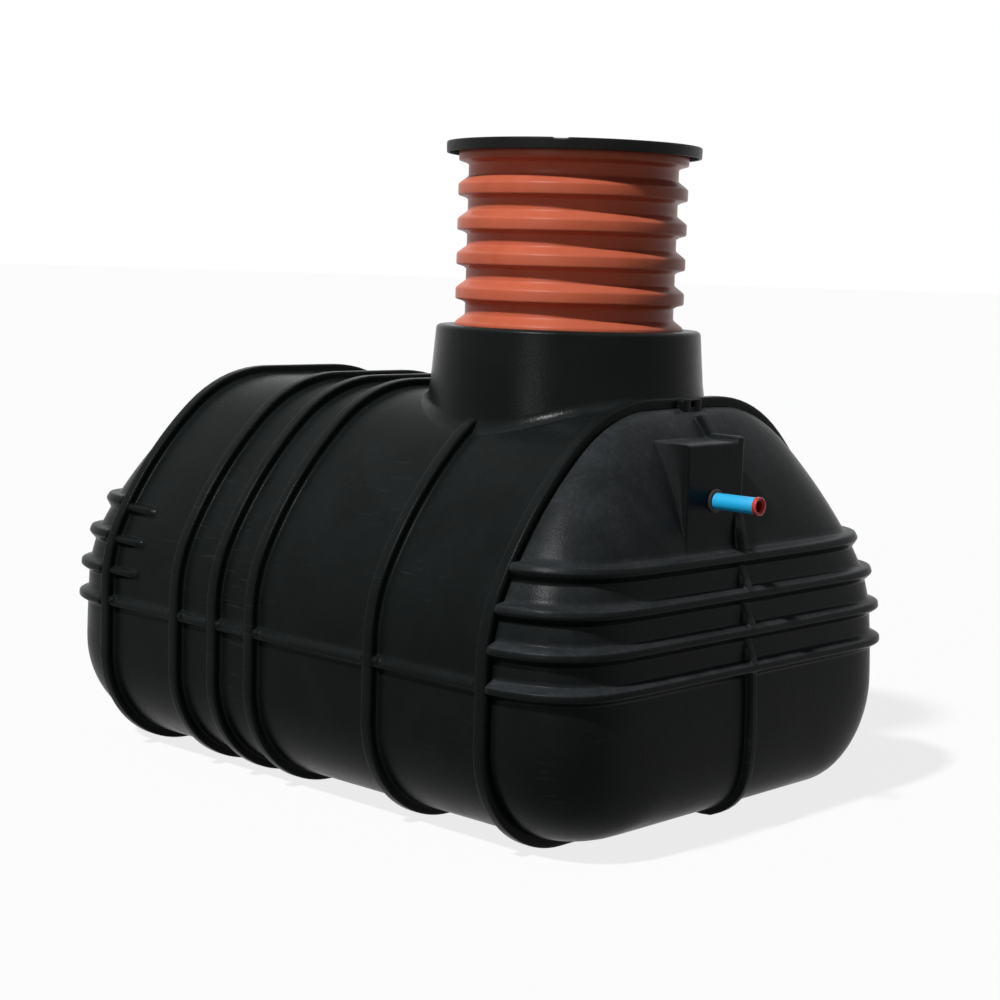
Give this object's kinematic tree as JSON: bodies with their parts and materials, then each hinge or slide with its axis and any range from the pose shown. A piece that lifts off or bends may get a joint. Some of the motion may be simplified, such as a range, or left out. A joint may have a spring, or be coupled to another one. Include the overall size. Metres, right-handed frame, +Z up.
{
  "type": "septic tank",
  "caption": "Horizontal moulded plastic septic tank with hoops, domed ribbed ends, a round neck with a corrugated access riser and flat lid, and a short pipe stub.",
  "frame": {"origin": "on the floor plane under the axis of the neck and riser, on the tank's centre line", "axes": "+X along the tank towards the end with the pipe stub, +Z up along the riser, +Y to the tank's left seen from behind the +X end"},
  "size_m": [2.2877, 1.58, 1.906],
  "materials": {
    "tank_shell": "satin, as moulded",
    "riser_plastic": "satin",
    "lid_plastic": "satin",
    "seal_rubber": "matt",
    "sleeve_blue": "semi-gloss",
    "tube_red": "semi-gloss"
  },
  "bodies": {
    "root": {"rear_end": "tank_shell", "hoop_1": "tank_shell", "bay_1": "tank_shell", "hoop_2": "tank_shell", "bay_2": "tank_shell", "hoop_3": "tank_shell", "bay_3": "tank_shell", "hoop_4": "tank_shell", "bay_4": "tank_shell", "hoop_5": "tank_shell", "bay_5": "tank_shell", "hoop_6": "tank_shell", "front_end": "tank_shell", "rear_lug": "tank_shell", "front_lug": "tank_shell", "neck": "tank_shell", "riser_seal": "seal_rubber", "riser": "riser_plastic", "lid": "lid_plastic", "stub_grommet": "seal_rubber", "stub_sleeve": "sleeve_blue", "stub_tube": "tube_red", "stub_ring": "tube_red"}
  },
  "joints": []
}
